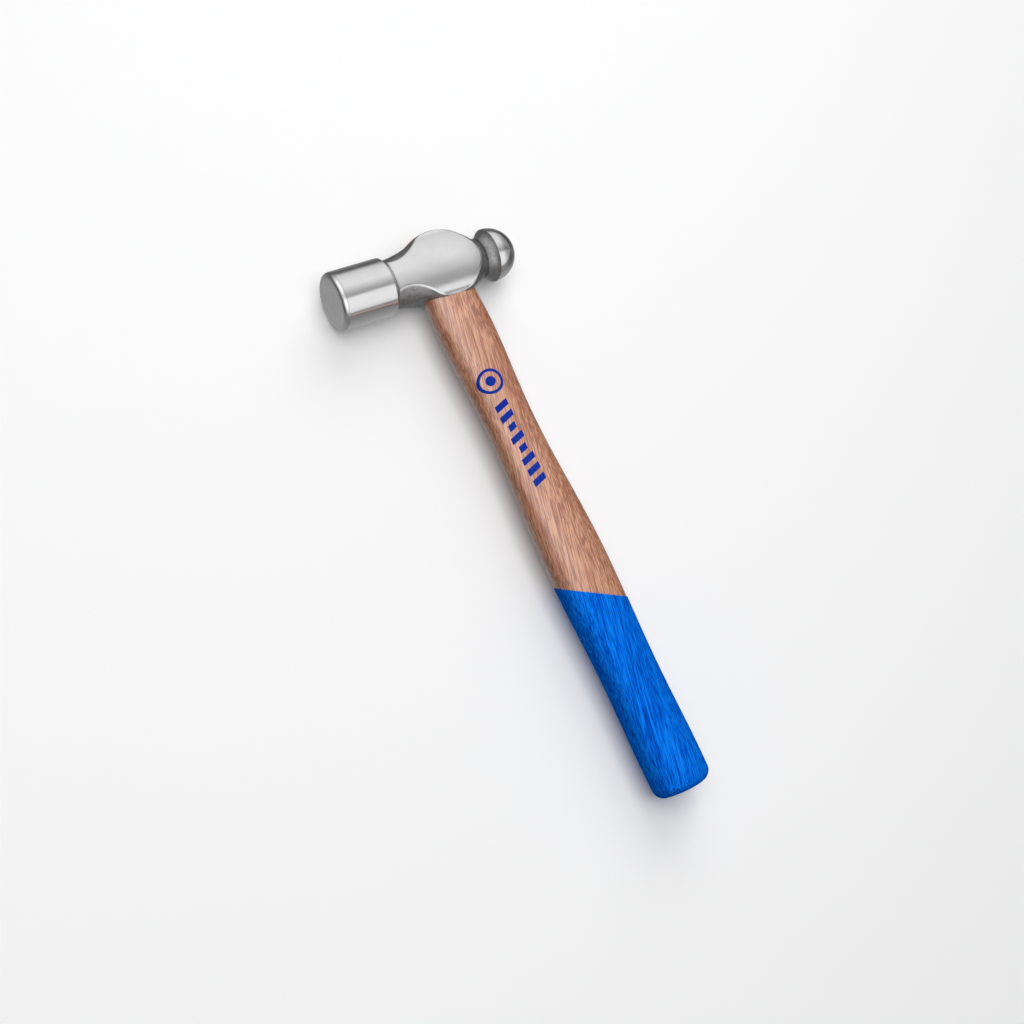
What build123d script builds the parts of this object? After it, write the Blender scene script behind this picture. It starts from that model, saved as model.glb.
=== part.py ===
from build123d import *
import os
from math import acos, asin, cos, degrees, hypot, radians, sin, sqrt

# Ball peen hammer, 16 oz class: a forged steel head hung on an oval hardwood handle.
#
# Frame: the hammer lies on its side. +X runs from the butt to the top of the head, +Y from
# the ball peen to the striking face, and +Z up through the cheek. The origin is at the
# middle of the hammer's outline, on the surface it lies on. Every piece is first drawn about
# the centre of the eye, with the head's own axis along Y and the handle's axis along X, and
# is then moved by SHIFT.

# ---- head: poll -------------------------------------------------------------------------
poll_diameter = 30.0
face_reach = 61.2            # from the eye's centre to the striking face
face_edge_radius = 3.0       # rounded edge of the striking face
poll_length = 29.6           # striking face to the rear rim of the poll
poll_chamfer_length = 2.2    # turned chamfer behind the rear rim
poll_step = 2.2              # how far the poll stands out of the turned neck behind it

# ---- head: eye section ------------------------------------------------------------------
bulb_spare = 2.6             # how far the turned bulb would stand out of the crown, untrimmed
bulb_radius_front = 19.3     # side view radius of that bulb, towards the face
bulb_radius_rear = 26.5      # and towards the ball
cove_angle = 30.0            # slope at which the front cove leaves the bulb, degrees
cone_angle = 34.0            # slope of the cone between the bulb and the ball's groove, degrees
crown_height = 18.4          # eye's centre to the top, and to the underside, of the head
crown_radius_front = 30.0    # side view radius of the top and underside, towards the face
crown_radius_rear = 33.0     # and towards the ball
crown_slope = 27.0           # slope at which the crown turns into its cove, degrees
crown_cove_end = 22.0        # from the eye's centre to where that cove has run out
crown_cove_rise = 0.8        # how far both ends of it run out above their necks
cheek_height = 14.2          # eye's centre to the highest point of a cheek
cheek_setback = 2.0          # that point lies this far towards the ball
cheek_radius_front = 150.0   # cheek curvature along the head, towards the face
cheek_radius_rear = 82.0     # and towards the ball
cheek_radius_across = 38.0   # cheek curvature along the handle
cheek_margin = 3.0           # the cheeks' blocks reach this far past the bulb

# ---- head: ball peen --------------------------------------------------------------------
ball_diameter = 28.2
ball_reach = 45.2            # from the eye's centre to the tip of the ball
ball_groove_radius = 6.0     # hollow groove between the eye section and the ball
ball_neck_diameter = 21.2    # at the bottom of that groove
ball_neck_reach = 25.0       # from the eye's centre to the bottom of that groove
ball_rim_radius = 0.5        # softened rim where the groove meets the ball

# ---- eye --------------------------------------------------------------------------------
eye_length = 23.0            # oval at the waist of the eye, along the head
eye_width = 14.6             # oval at the waist of the eye, across the cheeks
eye_flare = 1.6              # how much longer and wider the oval is at each mouth
mouth_margin = 3.0           # the flare is measured this far outside the top of the tenon

# ---- handle -----------------------------------------------------------------------------
handle_reach = 291.0         # from the eye's centre to the end of the butt
shoulder_ledge = 2.95        # how far the shoulder stands out of the eye all round
shoulder_top = 8.0           # the shoulder's blank runs up to here before the head trims it
butt_crown_radius = 62.0     # domed end of the butt
butt_edge_radius = 5.5       # rounding between the dome and the sides
butt_run_on = 20.0           # the handle's blank runs on this far before the dome trims it
tenon_proud = 0.5            # how far the tenon stands out of the top of the eye
# each station: (distance from the eye's centre towards the butt, width, thickness)
neck_station = (16.0, eye_length + 2 * shoulder_ledge, eye_width + 2 * shoulder_ledge)
shoulder_station = (0.117 * handle_reach, 30.4, 22.2)
waist_station = (0.282 * handle_reach, 26.8, 20.6)
throat_station = (0.447 * handle_reach, 30.0, 22.8)
swell_station = (0.619 * handle_reach, 32.6, 25.2)
grip_station = (0.825 * handle_reach, 30.1, 24.2)
butt_station = (handle_reach, 30.3, 24.6)

# ---- wedges -----------------------------------------------------------------------------
kerf_depth = 27.0            # saw cut in the tenon, down from the top of the head
wood_wedge_top = 4.4         # thickness of the wooden wedge at the top of the head
wood_wedge_tip = 1.2         # thickness at its tip, the width of the saw cut
steel_wedge_width = 10.0     # across the wooden wedge
steel_wedge_depth = 16.0
steel_wedge_top = 2.4        # thickness at the head end
steel_wedge_tip = 0.5        # thickness at the tip
steel_wedge_spacing = 11.0   # between the middles of the two steel wedges
wedge_sink = 0.6             # driven this far below the top of the tenon
barb_count = 3
barb_step = 0.25             # how far each barb stands out of the taper

# ---- dipped lacquer on the grip ---------------------------------------------------------
coat_thickness = 0.3
coat_edge_reach = 0.6323 * handle_reach  # from the eye's centre to the coat's edge, on the handle's axis
coat_edge_slope_y = 0.524    # the edge runs this much nearer the head per unit of +Y
coat_edge_slope_z = -0.32    # and this much nearer per unit of +Z

# ---- places worked out from the sizes above ---------------------------------------------
poll_radius = poll_diameter / 2
neck_radius = poll_radius - poll_step
bulb_crest = crown_height + bulb_spare
ball_radius = ball_diameter / 2
ball_neck_radius = ball_neck_diameter / 2
poll_rim_y = face_reach - poll_length
neck_y = poll_rim_y - poll_chamfer_length
ball_centre_y = ball_radius - ball_reach
groove_x = ball_neck_radius + ball_groove_radius
cheek_y = -cheek_setback
cheek_half_width = bulb_crest + cheek_margin
tenon_top = crown_height + tenon_proud
room = 40.0                  # spare length of the blocks that only trim other solids

SHIFT = Location(((handle_reach - tenon_top) / 2, (ball_reach - face_reach) / 2, poll_radius))


def bulb_point(angle, radius, along):
    """Point of the bulb's outline, at an angle from its crest towards the face (1) or ball (-1)."""
    turn = radians(angle)
    return (bulb_crest - radius * (1 - cos(turn)), along * radius * sin(turn))


def groove_front():
    """Point of the outline where the cone behind the bulb runs into the ball's groove."""
    start_x, start_y = bulb_point(cone_angle, bulb_radius_rear, -1)
    step_x = -sin(radians(cone_angle))
    step_y = -cos(radians(cone_angle))
    from_x = start_x - groove_x
    from_y = start_y + ball_neck_reach
    halfway = from_x * step_x + from_y * step_y
    beyond = from_x**2 + from_y**2 - ball_groove_radius**2
    travel = -halfway - sqrt(halfway**2 - beyond)
    return (start_x + travel * step_x, start_y + travel * step_y)


def ball_rim():
    """Point of the outline where the ball's groove meets the ball."""
    across = groove_x
    along = -ball_neck_reach - ball_centre_y
    apart = hypot(across, along)
    foot = (ball_radius**2 - ball_groove_radius**2 + apart**2) / (2 * apart)
    rise = sqrt(ball_radius**2 - foot**2)
    return (
        (foot * across + rise * along) / apart,
        ball_centre_y + (foot * along - rise * across) / apart,
    )


def turned_outline():
    """Half outline of the turned head blank in the XY plane, about the Y axis."""
    crest = (bulb_crest, 0)
    bulb_front = bulb_point(cove_angle, bulb_radius_front, 1)
    bulb_front_middle = bulb_point(cove_angle / 2, bulb_radius_front, 1)
    front_tangent = (-sin(radians(cove_angle)), cos(radians(cove_angle)))
    bulb_back = bulb_point(cone_angle, bulb_radius_rear, -1)
    bulb_back_middle = bulb_point(cone_angle / 2, bulb_radius_rear, -1)
    groove_bottom = (ball_neck_radius, -ball_neck_reach)
    side_reach = ball_radius * cos(radians(45))
    ball_side = (side_reach, ball_centre_y - side_reach)
    edge_start = (poll_radius - face_edge_radius, face_reach)
    edge_end = (poll_radius, face_reach - face_edge_radius)
    with BuildLine() as outline:
        Line((0, face_reach), edge_start)
        TangentArc(edge_start, edge_end, tangent=(1, 0))
        Polyline(edge_end, (poll_radius, poll_rim_y), (neck_radius, neck_y))
        TangentArc(bulb_front, (neck_radius, neck_y), tangent=front_tangent)
        ThreePointArc(bulb_front, bulb_front_middle, crest)
        ThreePointArc(crest, bulb_back_middle, bulb_back)
        Line(bulb_back, groove_front())
        ThreePointArc(groove_front(), groove_bottom, ball_rim())
        ThreePointArc(ball_rim(), ball_side, (0, -ball_reach))
        Line((0, -ball_reach), (0, face_reach))
    return make_face(outline.edges())


def turned_blank():
    """The head as it would be turned, before the eye section is flattened."""
    blank = revolve(turned_outline(), axis=Axis.Y)
    rim_x, rim_y = ball_rim()
    rims = blank.edges().filter_by(GeomType.CIRCLE)
    rim = min(rims, key=lambda edge: abs(edge.radius - rim_x) + abs(edge.center().Y - rim_y))
    return fillet(rim, ball_rim_radius)


def crown_edge(side, raised=0.0):
    """Side view outline of the head's top (1) or underside (-1), from the face to the ball."""
    top = crown_height + raised
    front_y = crown_radius_front * sin(radians(crown_slope))
    front_x = top - crown_radius_front * (1 - cos(radians(crown_slope)))
    halfway = radians(crown_slope / 2)
    front_middle = (
        side * (top - crown_radius_front * (1 - cos(halfway))),
        crown_radius_front * sin(halfway),
    )
    cove_x = neck_radius + crown_cove_rise + raised
    rear_x = ball_neck_radius + crown_cove_rise + raised
    rear_angle = acos(1 - (top - rear_x) / crown_radius_rear)
    rear_y = -crown_radius_rear * sin(rear_angle)
    rear_middle = (
        side * (top - crown_radius_rear * (1 - cos(rear_angle / 2))),
        -crown_radius_rear * sin(rear_angle / 2),
    )
    tangent = (-side * sin(radians(crown_slope)), cos(radians(crown_slope)))
    return [
        Line((side * cove_x, room), (side * cove_x, crown_cove_end)),
        TangentArc((side * front_x, front_y), (side * cove_x, crown_cove_end), tangent=tangent),
        ThreePointArc((side * front_x, front_y), front_middle, (side * top, 0)),
        ThreePointArc((side * top, 0), rear_middle, (side * rear_x, rear_y)),
        Line((side * rear_x, rear_y), (side * rear_x, -room)),
        Line((side * rear_x, -room), (0, -room)),
        Line((0, -room), (0, room)),
        Line((0, room), (side * cove_x, room)),
    ]


def crown_block(raised=0.0):
    """Block between the head's top and its underside, the same from cheek to cheek."""
    bottom, top = (make_face(Curve() + crown_edge(side, raised)) for side in (-1, 1))
    return extrude(bottom, room, both=True) + extrude(top, room, both=True)


def cheek_block(side, along, radius):
    """Half block under a doubly curved cheek.

    The cheek is on the +Z side (1) or the -Z side (-1). The half lies from the cheek's
    highest point towards the face (1) or towards the ball (-1), where the cheek's curvature
    along the head has the given radius.
    """
    half = cheek_half_width
    edge_z = side * (cheek_height - cheek_radius_across + sqrt(cheek_radius_across**2 - half**2))
    far_z = -side * half
    with BuildLine() as outline:
        ThreePointArc((-half, 0, edge_z), (0, 0, side * cheek_height), (half, 0, edge_z))
        Polyline((half, 0, edge_z), (half, 0, far_z), (-half, 0, far_z), (-half, 0, edge_z))
    section = Pos(0, cheek_y, 0) * make_face(outline.edges())
    pivot = Axis((0, cheek_y, side * (cheek_height - radius)), (1, 0, 0))
    turn = -side * along * degrees(asin(room / radius))
    return revolve(section, axis=pivot, revolution_arc=turn)


def cheeks():
    """Block between the two cheeks of the head."""
    upper, lower = (
        cheek_block(side, 1, cheek_radius_front) + cheek_block(side, -1, cheek_radius_rear)
        for side in (1, -1)
    )
    return upper & lower


def eye_section(blank):
    """The middle of the head: the bulb, trimmed by crowns and cheeks between the two necks."""
    length = neck_y + ball_neck_reach
    middle = Pos(0, (neck_y - ball_neck_reach) / 2, 0) * Box(2 * room, length, 2 * room)
    return blank & middle & crown_block() & cheeks()


def eye_plug():
    """What fills the eye: an oval that is narrowest at the middle of the head."""
    reach = crown_height + tenon_proud + mouth_margin
    halves = Part()
    for end in (-1, 1):
        sections = []
        for x, grow in ((0, 0), (end * reach, eye_flare)):
            oval = Ellipse((eye_length + grow) / 2, (eye_width + grow) / 2)
            sections.append(Plane((x, 0, 0), x_dir=(0, 1, 0), z_dir=(1, 0, 0)) * oval)
        halves += loft(sections)
    return halves


def head_blank():
    """Steel head before its eye is made."""
    blank = turned_blank()
    poll = blank & Pos(0, neck_y + room, 0) * Box(2 * room, 2 * room, 2 * room)
    ball = blank & Pos(0, -ball_neck_reach - room, 0) * Box(2 * room, 2 * room, 2 * room)
    return poll + eye_section(blank) + ball


def grip_blank(skin=0.0):
    """Handle below the head, grown by a skin thickness, with a crowned and rounded butt."""
    sections = []
    first = (-shoulder_top, neck_station[1], neck_station[2])
    past_butt = (handle_reach + butt_run_on, butt_station[1], butt_station[2])
    neck = (first, neck_station, shoulder_station, waist_station)
    grip = (throat_station, swell_station, grip_station, butt_station, past_butt)
    for reach, width, thickness in neck + grip:
        oval = Ellipse(width / 2 + skin, thickness / 2 + skin)
        sections.append(Plane((-reach, 0, 0), x_dir=(0, 1, 0), z_dir=(1, 0, 0)) * oval)
    length = handle_reach + skin
    crown = Pos(butt_crown_radius - length, 0, 0) * Sphere(butt_crown_radius)
    middle = Pos(butt_crown_radius - length, 0, 0) * Box(
        handle_reach + room, 2 * room, 2 * room, align=(Align.MIN, Align.CENTER, Align.CENTER)
    )
    blank = loft(sections) & (crown + middle)
    return fillet(blank.edges().sort_by(Axis.X)[0], butt_edge_radius + skin)


def tenon(plug):
    """The part of the eye plug that is wood: from inside the shoulder to just above the head."""
    return plug & crown_block(tenon_proud)


def tapered_wedge(depth, top, tip, width, barbs=0, step=0.0):
    """Wedge pointing down the handle from X = 0, tapering in Y, with barbs on both flanks."""
    teeth = max(barbs, 1)
    points = []
    for index in range(teeth):
        for share in (index / teeth, (index + 1) / teeth):
            half = (top + (tip - top) * share) / 2
            stands_out = step if barbs and share * teeth == index and index > 0 else 0
            points.append((-depth * share, half + stands_out))
    mirrored = [(x, -y) for x, y in reversed(points)]
    return extrude(make_face(Polyline(*points, *mirrored, close=True)), width / 2, both=True)


def wooden_wedge_blank(plug):
    """Wooden wedge that fills the saw cut, from end to end of the eye's long axis."""
    depth = kerf_depth + tenon_proud
    blank = tapered_wedge(depth, wood_wedge_top, wood_wedge_tip, 2 * room)
    return Pos(tenon_top, 0, 0) * Rot(90, 0, 0) * blank & tenon(plug)


def steel_wedge(place):
    """Barbed steel wedge across the wooden wedge, towards the face (1) or the ball (-1)."""
    wedge = tapered_wedge(
        steel_wedge_depth, steel_wedge_top, steel_wedge_tip, steel_wedge_width, barb_count, barb_step
    )
    return Pos(tenon_top - wedge_sink, place * steel_wedge_spacing / 2, 0) * wedge


def dip_coat(wood):
    """Skin of lacquer over the grip, from its slanted edge to the end of the butt."""
    edge = Plane(
        origin=(-coat_edge_reach, 0, 0), z_dir=(-1, coat_edge_slope_y, coat_edge_slope_z)
    )
    return split(grip_blank(coat_thickness), bisect_by=edge, keep=Keep.TOP) - wood


def hammer():
    """Every piece of the hammer by name, in place about the centre of the eye."""
    plug = eye_plug()
    blank = head_blank()
    steel_wedges = {
        "steel_wedge_front": steel_wedge(1),
        "steel_wedge_rear": steel_wedge(-1),
    }
    both_steel = steel_wedges["steel_wedge_front"] + steel_wedges["steel_wedge_rear"]
    wooden_wedge = wooden_wedge_blank(plug)
    grip = grip_blank()
    handle = (grip - blank) + tenon(plug) - wooden_wedge - both_steel
    return {
        "head": blank - plug,
        "handle": handle,
        "wooden_wedge": wooden_wedge - both_steel,
        **steel_wedges,
        "dip_coat": dip_coat(grip),
    }


if __name__ == "__main__":
    os.makedirs("parts", exist_ok=True)
    for name, piece in hammer().items():
        export_step(SHIFT * piece, f"parts/{name}.step")
        print(f"{name}: {piece.volume:.0f} mm3, {len(piece.solids())} solid(s)")
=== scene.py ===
"""Looks of a 16 oz ball peen hammer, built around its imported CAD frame.

Lengths are in metres and in the frame's axes: +X from the butt to the top of the head, +Y from
the ball peen to the striking face, +Z up through the cheek. The head is rebuilt as one smooth
forging with softened edges, and takes the CAD head's place. The handle, the wedges and the dipped
coat keep their CAD solids and are dressed here. A generic printed mark is laid on the handle.
"""

import logging
import math
from dataclasses import dataclass
from enum import Enum

import bmesh
import bpy
import numpy as np
from mathutils import Matrix, Quaternion, Vector
from mathutils.bvhtree import BVHTree


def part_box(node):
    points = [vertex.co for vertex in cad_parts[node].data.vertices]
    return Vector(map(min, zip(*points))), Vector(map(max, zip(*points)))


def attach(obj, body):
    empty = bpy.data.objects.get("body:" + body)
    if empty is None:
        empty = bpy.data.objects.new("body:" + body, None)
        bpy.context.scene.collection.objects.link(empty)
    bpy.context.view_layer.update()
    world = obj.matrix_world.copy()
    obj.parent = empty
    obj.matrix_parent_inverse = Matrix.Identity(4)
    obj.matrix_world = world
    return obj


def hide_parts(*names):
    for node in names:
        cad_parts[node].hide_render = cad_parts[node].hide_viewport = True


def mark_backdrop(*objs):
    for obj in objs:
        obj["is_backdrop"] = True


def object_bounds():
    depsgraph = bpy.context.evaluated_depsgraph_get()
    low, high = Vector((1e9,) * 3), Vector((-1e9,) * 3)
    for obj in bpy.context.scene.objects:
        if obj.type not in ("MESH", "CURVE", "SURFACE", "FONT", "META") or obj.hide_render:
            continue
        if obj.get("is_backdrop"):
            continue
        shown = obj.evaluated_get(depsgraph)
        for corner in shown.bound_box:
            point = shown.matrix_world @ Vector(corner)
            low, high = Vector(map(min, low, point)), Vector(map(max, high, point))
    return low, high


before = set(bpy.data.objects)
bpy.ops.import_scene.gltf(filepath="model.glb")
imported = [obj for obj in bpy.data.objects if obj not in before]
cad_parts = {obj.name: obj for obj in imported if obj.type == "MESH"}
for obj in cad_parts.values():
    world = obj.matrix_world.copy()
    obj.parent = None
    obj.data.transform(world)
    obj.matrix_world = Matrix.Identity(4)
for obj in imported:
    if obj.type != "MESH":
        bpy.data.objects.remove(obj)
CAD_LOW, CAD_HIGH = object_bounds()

LOG = logging.getLogger("hammer")
MM = 0.001
TINY = 1e-6
BODY = "root"
Socket = bpy.types.NodeSocket
Colour = tuple[float, float, float]
Point = tuple[float, float]
Stops = tuple[tuple[float, Colour], ...]
Span = tuple[float, float, int]
Face = tuple[int, ...]
Row = tuple[float, np.ndarray, np.ndarray]


class Slot(Enum):
    """Material slots of the record; nothing in this script uses them."""

    FORGED_STEEL = "forged_steel"
    BLUE_LACQUER = "blue_lacquer"


# ---- shared node and mesh tools --------------------------------------------------------------


class Graph:
    """An emptied node tree, with short calls for the nodes that finishes and surroundings share."""

    def __init__(self, tree: bpy.types.NodeTree) -> None:
        """Takes a node tree and empties it."""
        self.tree = tree
        self.tree.nodes.clear()

    def add(self, kind: str, **settings: object) -> bpy.types.Node:
        """Adds a node and sets its properties.

        Args:
            kind: Blender's name for the node type.
            settings: Properties of the node, by name.

        Returns:
            The new node.
        """
        node = self.tree.nodes.new(kind)
        for name, value in settings.items():
            setattr(node, name, value)
        return node

    def join(self, source: Socket, target: Socket) -> None:
        """Links an output to an input."""
        self.tree.links.new(source, target)

    def feed(self, target: Socket, value: Socket | float | Colour) -> None:
        """Links a socket or sets a plain value on an input.

        Args:
            target: The input socket.
            value: Another node's output, a number or a colour.
        """
        if isinstance(value, bpy.types.NodeSocket):
            self.join(value, target)
        elif isinstance(value, tuple) and len(value) == 3 and len(target.default_value) == 4:
            target.default_value = (*value, 1.0)
        else:
            target.default_value = value

    def place(self) -> Socket:
        """Position in the frame.

        Returns:
            The position, in millimetres.
        """
        coordinates = self.add("ShaderNodeTexCoord")
        scale = self.add("ShaderNodeVectorMath", operation="SCALE")
        scale.inputs["Scale"].default_value = 1.0 / MM
        self.join(coordinates.outputs["Object"], scale.inputs[0])
        return scale.outputs["Vector"]

    def stretched(self, place: Socket, pitch: Colour, turn: Colour = (0.0, 0.0, 0.0)) -> Socket:
        """Coordinates that run once per pitch along each axis, after a turn.

        Args:
            place: Position in millimetres.
            pitch: Length of one cycle along each axis, in millimetres.
            turn: Rotation about each axis, in degrees.

        Returns:
            The scaled coordinates.
        """
        turned = self.add("ShaderNodeMapping", vector_type="POINT")
        turned.inputs["Rotation"].default_value = tuple(math.radians(a) for a in turn)
        self.join(place, turned.inputs["Vector"])
        scaled = self.add("ShaderNodeVectorMath", operation="DIVIDE")
        scaled.inputs[1].default_value = pitch
        self.join(turned.outputs["Vector"], scaled.inputs[0])
        return scaled.outputs["Vector"]

    def noise(self, vector: Socket, detail: float = 3.0, rough: float = 0.5, warp: float = 0.0) -> Socket:
        """Fractal noise of one cycle per unit of its coordinates.

        Args:
            vector: Coordinates.
            detail: Number of octaves.
            rough: How strong the fine octaves are.
            warp: Distortion of the pattern.

        Returns:
            The noise value, about 0.5 on average.
        """
        node = self.add("ShaderNodeTexNoise")
        self.join(vector, node.inputs["Vector"])
        node.inputs["Scale"].default_value = 1.0
        node.inputs["Detail"].default_value = detail
        node.inputs["Roughness"].default_value = rough
        node.inputs["Distortion"].default_value = warp
        return node.outputs["Fac"]

    def span(self, value: Socket, low: float, high: float, to_low: float, to_high: float) -> Socket:
        """Maps a range smoothly onto another and clamps it there.

        Args:
            value: The value to map.
            low: Start of the range.
            high: End of the range.
            to_low: Result at the start.
            to_high: Result at the end.

        Returns:
            The mapped value.
        """
        node = self.add("ShaderNodeMapRange", interpolation_type="SMOOTHSTEP")
        self.join(value, node.inputs["Value"])
        limits = {"From Min": low, "From Max": high, "To Min": to_low, "To Max": to_high}
        for name, number in limits.items():
            node.inputs[name].default_value = number
        return node.outputs["Result"]

    def sums(self, operation: str, first: Socket | float, second: Socket | float) -> Socket:
        """Arithmetic on two values.

        Args:
            operation: Blender's name for the operation.
            first: First value.
            second: Second value.

        Returns:
            The result.
        """
        node = self.add("ShaderNodeMath", operation=operation)
        self.feed(node.inputs[0], first)
        self.feed(node.inputs[1], second)
        return node.outputs["Value"]

    def colours(self, factor: Socket, stops: Stops) -> Socket:
        """Colour ramp.

        Args:
            factor: Where on the ramp, from 0 to 1.
            stops: Positions and their colours.

        Returns:
            The colour.
        """
        node = self.add("ShaderNodeValToRGB")
        elements = node.color_ramp.elements
        while len(elements) < len(stops):
            elements.new(1.0)
        for element, (position, colour) in zip(elements, stops):
            element.position = position
            element.color = (*colour, 1.0)
        self.join(factor, node.inputs["Fac"])
        return node.outputs["Color"]

    def blend(self, factor: Socket, first: Socket | Colour, second: Socket | Colour) -> Socket:
        """Mixes two colours.

        Args:
            factor: Share of the second colour.
            first: First colour.
            second: Second colour.

        Returns:
            The mixed colour.
        """
        node = self.add("ShaderNodeMix", data_type="RGBA")
        self.feed(node.inputs["Factor"], factor)
        colour_inputs = [s for s in node.inputs if s.type == "RGBA"]
        self.feed(colour_inputs[0], first)
        self.feed(colour_inputs[1], second)
        return next(s for s in node.outputs if s.type == "RGBA")

    def relief(self, height: Socket, depth_mm: float, base: Socket | None = None) -> Socket:
        """Bump from a height that runs from 0 to 1.

        Args:
            height: The height.
            depth_mm: What a height of 1 stands for, in millimetres.
            base: Another relief that this one lies on.

        Returns:
            The bent normal.
        """
        node = self.add("ShaderNodeBump")
        node.inputs["Strength"].default_value = 1.0
        node.inputs["Distance"].default_value = depth_mm * MM
        self.join(height, node.inputs["Height"])
        if base is not None:
            self.join(base, node.inputs["Normal"])
        return node.outputs["Normal"]


class Finish(Graph):
    """One material's node tree, built round a Principled shader."""

    def __init__(self, name: str) -> None:
        """Starts a material with a Principled shader wired to its output.

        Args:
            name: The material's name.
        """
        self.material = bpy.data.materials.new(name)
        self.material.use_nodes = True
        super().__init__(self.material.node_tree)
        self.shader = self.add("ShaderNodeBsdfPrincipled")
        output = self.add("ShaderNodeOutputMaterial")
        self.join(self.shader.outputs["BSDF"], output.inputs["Surface"])

    def set(self, **values: Socket | float | Colour) -> None:
        """Feeds the shader's inputs, named with underscores for spaces.

        Args:
            values: Values or sockets by input name.
        """
        for name, value in values.items():
            self.feed(self.shader.inputs[name.replace("_", " ")], value)


def mesh_object(name: str, vertices: np.ndarray, faces: list[Face],
                material: bpy.types.Material) -> bpy.types.Object:
    """Makes a mesh object in the frame.

    Args:
        name: The piece's name.
        vertices: Points in metres.
        faces: Corner indices of each face.
        material: The finish.

    Returns:
        The linked object.
    """
    mesh = bpy.data.meshes.new(name)
    mesh.from_pydata([tuple(map(float, v)) for v in vertices], [], faces)
    mesh.materials.append(material)
    mesh.validate()
    mesh.update()
    piece = bpy.data.objects.new(name, mesh)
    bpy.context.scene.collection.objects.link(piece)
    return piece


def ring_faces(rings: int, count: int) -> list[Face]:
    """Faces between neighbouring rings of points.

    Args:
        rings: Number of rings.
        count: Points in each ring.

    Returns:
        The faces' corners.
    """
    faces = []
    for a in range(0, (rings - 1) * count, count):
        b = a + count
        faces += [(a + i, a + (i + 1) % count, b + (i + 1) % count, b + i) for i in range(count)]
    return faces


def shade(piece: bpy.types.Object, sharp_degrees: float) -> None:
    """Shades a piece smoothly, apart from its sharp edges.

    Args:
        piece: The piece.
        sharp_degrees: Edges that turn by more than this stay sharp.
    """
    mesh = piece.data
    mesh.polygons.foreach_set("use_smooth", [True] * len(mesh.polygons))
    mesh.set_sharp_from_angle(angle=math.radians(sharp_degrees))
    mesh.update()


def dress(node: str, material: bpy.types.Material) -> bpy.types.Object:
    """Gives a CAD node its finish.

    Args:
        node: The node's name.
        material: The finish.

    Returns:
        The node's object.
    """
    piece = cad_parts[node]
    piece.data.materials.clear()
    piece.data.materials.append(material)
    return piece


# ---- finishes --------------------------------------------------------------------------------


@dataclass(frozen=True)
class GroundSteel:
    """Forged steel, ground and polished, but left dull on the sides of the eye and in the groove, and
    darkened by painted shade in a strip next to the neck ledge.
    """

    colour: Colour = (0.80, 0.80, 0.80)
    dull_colour: Colour = (0.33, 0.33, 0.335)
    scale: Colour = (0.17, 0.17, 0.175)
    clouded: Colour = (0.62, 0.62, 0.625)
    polish: float = 0.17
    dull: float = 0.50
    lapping_mm: float = 0.006
    pitting_mm: float = 0.22

    def build(self) -> bpy.types.Material:
        """Builds the material.

        Returns:
            The material.
        """
        g = Finish("ground_steel")
        place = g.place()
        # The dullness holds the unpolished zones and also the painted shade next to the neck ledge.
        dull_and_painted_shade = g.add("ShaderNodeAttribute", attribute_name="dullness").outputs["Fac"]
        clouds = g.noise(g.stretched(place, (7.0, 7.0, 7.0)), detail=4.0, rough=0.6)
        lapping = g.noise(g.stretched(place, (0.8, 9.0, 0.8)), detail=3.0, rough=0.6)
        forging = g.noise(g.stretched(place, (2.6, 2.6, 2.6)), detail=5.0, rough=0.65)
        tint = g.blend(g.span(clouds, 0.3, 0.7, 0.0, 0.12), self.colour, self.clouded)
        left = g.blend(g.span(forging, 0.42, 0.66, 0.0, 0.55), self.dull_colour, self.scale)
        tint = g.blend(dull_and_painted_shade, tint, left)
        fine = g.span(g.sums("ADD", clouds, g.sums("MULTIPLY", lapping, 0.4)), 0.5, 0.9,
                      self.polish - 0.025, self.polish + 0.045)
        rough = g.sums("ADD", fine, g.sums("MULTIPLY", dull_and_painted_shade, self.dull - self.polish))
        ground = g.relief(lapping, self.lapping_mm)
        pitted = g.relief(g.sums("MULTIPLY", forging, dull_and_painted_shade), self.pitting_mm, ground)
        g.set(Base_Color=tint, Metallic=1.0, Roughness=rough, Normal=pitted)
        return g.material


@dataclass(frozen=True)
class Grain:
    """Direction and scale of the handle's grain, shared by the bare and the dipped wood."""

    slant: float = 10.8
    dive: float = 3.0
    fibre_pitch: Colour = (20.0, 0.58, 0.58)
    fleck_pitch: Colour = (9.0, 0.50, 0.60)
    band_pitch: Colour = (60.0, 5.0, 5.0)
    fibre_share: float = 0.7

    def turned(self, g: Graph, place: Socket, pitch: Colour) -> Socket:
        """Coordinates that run along the grain, once per pitch."""
        return g.stretched(place, pitch, (0.0, self.dive, self.slant))

    def fibres(self, g: Graph, place: Socket) -> Socket:
        """Fine fibres, from 0, dark, to 1, pale."""
        return g.noise(self.turned(g, place, self.fibre_pitch), detail=2.0, rough=0.5, warp=0.06)

    def figure(self, g: Graph, place: Socket) -> tuple[Socket, Socket, Socket]:
        """The wood's figure: fibres, short dark flecks of the rays, and broad bands of tone.

        Args:
            g: The material's graph.
            place: Position in millimetres.

        Returns:
            The fibres, the flecks (1 in a fleck), and the tone of fibres and bands together.
        """
        fibres = self.fibres(g, place)
        cells = g.noise(self.turned(g, place, self.fleck_pitch), detail=2.0, rough=0.5)
        bands = g.noise(self.turned(g, place, self.band_pitch), detail=3.0, rough=0.55, warp=0.5)
        tone = g.sums("ADD", g.sums("MULTIPLY", fibres, self.fibre_share),
                      g.sums("MULTIPLY", bands, 1.0 - self.fibre_share))
        return fibres, g.span(cells, 0.56, 0.67, 0.0, 1.0), tone


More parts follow.
